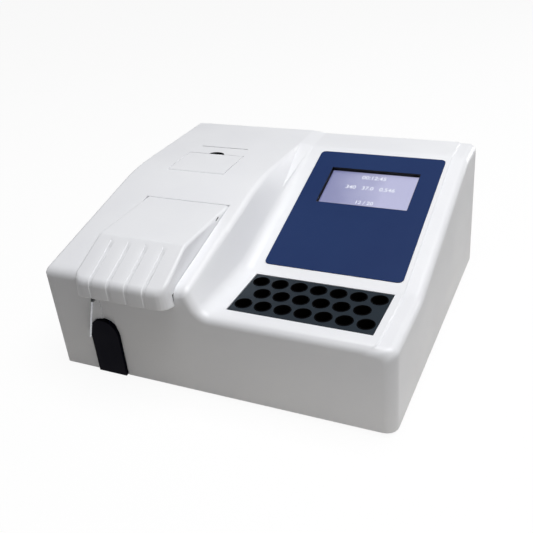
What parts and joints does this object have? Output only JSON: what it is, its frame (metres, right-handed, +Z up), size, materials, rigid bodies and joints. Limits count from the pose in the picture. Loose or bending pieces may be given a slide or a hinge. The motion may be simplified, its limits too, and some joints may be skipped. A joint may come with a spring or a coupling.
{
  "type": "benchtop chemistry analyzer",
  "caption": "Benchtop chemistry analyzer: moulded housing with a hinged measuring lid, sloped display, heated well block, aspirate key and needle, and a built-in printer.",
  "frame": {"origin": "middle of the footprint, at the feet's underside", "axes": "+X to the user's right, +Y to the back, +Z up"},
  "size_m": [0.34, 0.3292, 0.1463],
  "materials": {
    "white_shell": "fine satin mould texture",
    "sheet_metal": "satin grey",
    "foot_rubber": "matte",
    "navy_film": "satin printed film",
    "clear_glass": "polished",
    "screen": "lit screen",
    "circuit_board": "solder mask",
    "slate_metal": "anodised dark grey",
    "grey_plastic": "matte",
    "steel": "brushed",
    "aluminium": "bead blasted",
    "dark_plastic": "matte",
    "silicone_tube": "translucent",
    "dark_key": "semi-gloss",
    "thermal_paper": "paper"
  },
  "bodies": {
    "case": {"upper_housing": "white_shell", "base_plate": "sheet_metal", "rear_panel": "sheet_metal", "key_bracket": "sheet_metal", "incubator_bracket": "sheet_metal", "power_supply": "sheet_metal", "foot_front_left": "foot_rubber", "foot_front_right": "foot_rubber", "foot_rear_left": "foot_rubber", "foot_rear_right": "foot_rubber", "display_membrane": "navy_film", "display_glass": "clear_glass", "flow_cell": "clear_glass", "lamp": "clear_glass", "display_module": "screen", "display_board": "circuit_board", "main_board": "circuit_board", "light_detector": "circuit_board", "incubator_block": "slate_metal", "bay_tray": "grey_plastic", "hinge_bracket_left": "grey_plastic", "hinge_bracket_right": "grey_plastic", "pump_body": "grey_plastic", "hinge_pin_left": "steel", "hinge_pin_right": "steel", "aspiration_needle": "steel", "cover_pin_left": "steel", "cover_pin_right": "steel", "serial_port": "steel", "pump_motor": "aluminium", "optics_bench": "aluminium", "filter_motor": "aluminium", "lamp_housing": "aluminium", "printer_motor": "aluminium", "incubator_heater": "dark_plastic", "needle_sleeve": "dark_plastic", "needle_holder": "dark_plastic", "flow_cell_holder": "dark_plastic", "lens_tube": "dark_plastic", "key_switch": "dark_plastic", "printer_frame": "dark_plastic", "print_head": "dark_plastic", "fan_frame": "dark_plastic", "power_inlet": "dark_plastic", "waste_port": "dark_plastic", "sample_tube": "silicone_tube", "pump_tube": "silicone_tube", "waste_tube": "silicone_tube"},
    "lid": {"lid": "white_shell"},
    "printer_cover": {"printer_cover": "white_shell"},
    "platen_roller": {"platen_roller": "foot_rubber"},
    "paper_roll": {"paper_roll": "thermal_paper"},
    "aspirate_key": {"aspirate_key": "dark_key"},
    "pump_rotor": {"pump_rotor": "dark_plastic"},
    "pump_roller_1": {"pump_roller_1": "steel"},
    "pump_roller_2": {"pump_roller_2": "steel"},
    "pump_roller_3": {"pump_roller_3": "steel"},
    "filter_wheel": {"filter_wheel": "dark_plastic"},
    "power_switch": {"power_switch": "foot_rubber"},
    "fan_rotor": {"fan_rotor": "dark_plastic"}
  },
  "joints": [
    {"name": "lid_hinge", "type": "hinge", "parent": "case", "child": "lid", "pos_m": [-0.07785, -0.052, 0.12964], "axis": [-1, 0, 0], "range_deg": [0, 100]},
    {"name": "printer_cover_hinge", "type": "hinge", "parent": "case", "child": "printer_cover", "pos_m": [-0.0955, 0.036, 0.1398], "axis": [1, 0, 0], "range_deg": [0, 100]},
    {"name": "paper_roll_spin", "type": "hinge", "parent": "case", "child": "paper_roll", "pos_m": [-0.0955, 0.053, 0.121], "axis": [1, 0, 0], "continuous": true},
    {"name": "platen_spin", "type": "hinge", "parent": "case", "child": "platen_roller", "pos_m": [-0.0955, 0.08345, 0.134], "axis": [1, 0, 0], "continuous": true},
    {"name": "aspirate_key_slide", "type": "slide", "parent": "case", "child": "aspirate_key", "axis": [0, 1, 0], "range_m": [0, 0.0025], "stiffness_N_per_m": 400, "springref_m": -0.001},
    {"name": "pump_spin", "type": "hinge", "parent": "case", "child": "pump_rotor", "pos_m": [-0.056, -0.098, 0.09], "axis": [0, 0, 1], "continuous": true},
    {"name": "pump_roller_1_spin", "type": "hinge", "parent": "pump_rotor", "child": "pump_roller_1", "pos_m": [-0.056, -0.087, 0.092], "axis": [0, 0, 1], "continuous": true},
    {"name": "pump_roller_2_spin", "type": "hinge", "parent": "pump_rotor", "child": "pump_roller_2", "pos_m": [-0.06553, -0.1035, 0.092], "axis": [0, 0, 1], "continuous": true},
    {"name": "pump_roller_3_spin", "type": "hinge", "parent": "pump_rotor", "child": "pump_roller_3", "pos_m": [-0.04647, -0.1035, 0.092], "axis": [0, 0, 1], "continuous": true},
    {"name": "filter_wheel_spin", "type": "hinge", "parent": "case", "child": "filter_wheel", "pos_m": [-0.0667, -0.002, 0.092], "axis": [0, 1, 0], "continuous": true},
    {"name": "power_switch_rock", "type": "hinge", "parent": "case", "child": "power_switch", "pos_m": [-0.0945, 0.1571, 0.04], "axis": [-1, 0, 0], "range_deg": [0, 14]},
    {"name": "fan_spin", "type": "hinge", "parent": "case", "child": "fan_rotor", "pos_m": [0.09, 0.1495, 0.06], "axis": [0, 1, 0], "continuous": true}
  ],
  "couplings": [
    {"joint": "platen_spin", "follows": "paper_roll_spin", "ratio": 2.5},
    {"joint": "pump_roller_1_spin", "follows": "pump_spin", "ratio": -4.1429},
    {"joint": "pump_roller_2_spin", "follows": "pump_spin", "ratio": -4.1429},
    {"joint": "pump_roller_3_spin", "follows": "pump_spin", "ratio": -4.1429}
  ]
}
